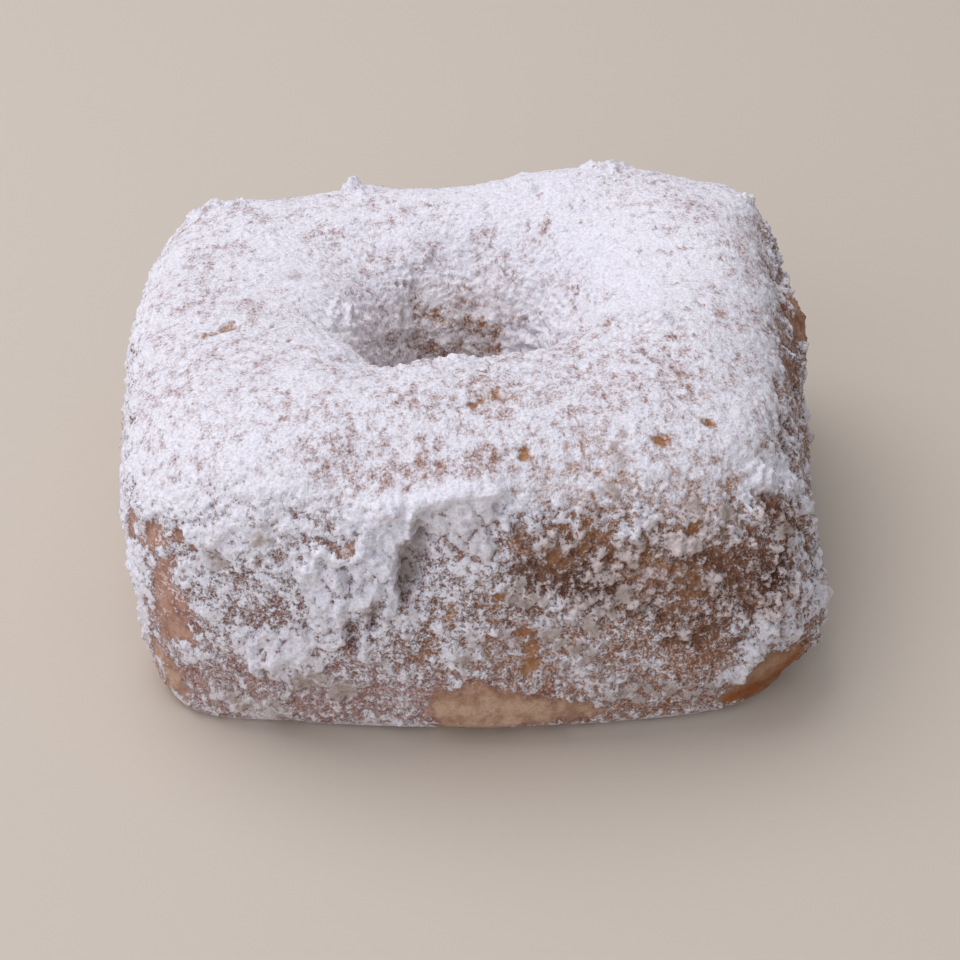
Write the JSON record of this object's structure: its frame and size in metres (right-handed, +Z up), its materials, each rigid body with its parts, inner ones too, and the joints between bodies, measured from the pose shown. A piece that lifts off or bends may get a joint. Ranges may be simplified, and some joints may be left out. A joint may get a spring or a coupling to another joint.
{
  "type": "powdered sugar doughnut",
  "caption": "Square ring doughnut of raised dough with rounded corners, under a thick uneven coat of caked powdered sugar with bare patches of crust.",
  "frame": {"origin": "middle of the footprint, on the plane the doughnut rests on", "axes": "+Z up, -Y towards the front as seen in the picture, +X to the right, across the widest way"},
  "size_m": [0.0912, 0.085, 0.0401],
  "materials": {
    "sugared_crust": "matt powdered sugar over golden brown crust"
  },
  "bodies": {
    "root": {"doughnut": "sugared_crust"}
  },
  "joints": []
}
